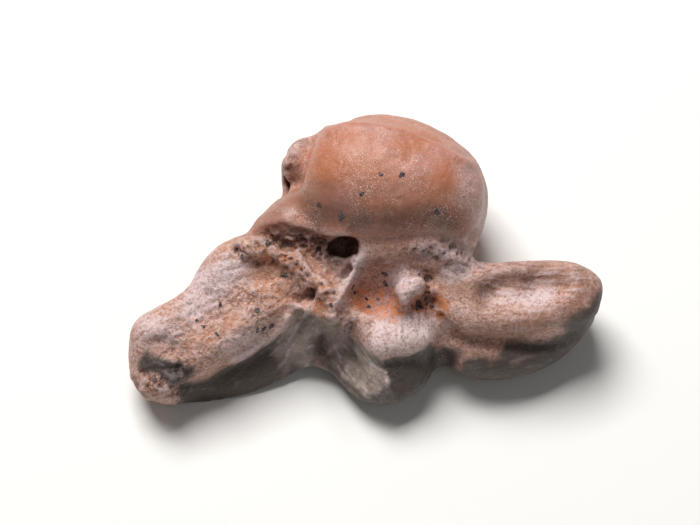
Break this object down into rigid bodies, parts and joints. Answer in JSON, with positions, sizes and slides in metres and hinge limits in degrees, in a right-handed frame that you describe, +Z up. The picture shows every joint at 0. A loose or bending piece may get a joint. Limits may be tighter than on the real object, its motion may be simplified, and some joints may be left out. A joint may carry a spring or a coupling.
{
  "type": "dolphin ear bone model",
  "caption": "Life-size model of a fossil dolphin ear bone: round cochlear dome with an oval window, fossae, a side tuberosity and two flat processes, lying on its back.",
  "frame": {"origin": "middle of the bounding box in plan, on the ground that the bone rests on", "axes": "+Z up, +X from the posterior process to the anterior process, +Y to the medial (dome) side; the tympanic side faces up and 25 degrees towards -Y"},
  "size_m": [0.036, 0.0222, 0.0155],
  "materials": {
    "fossil_bone": "semi-matt fossil bone, warm brown on the dome and greyer on the processes"
  },
  "bodies": {
    "root": {"periotic": "fossil_bone"}
  },
  "joints": []
}
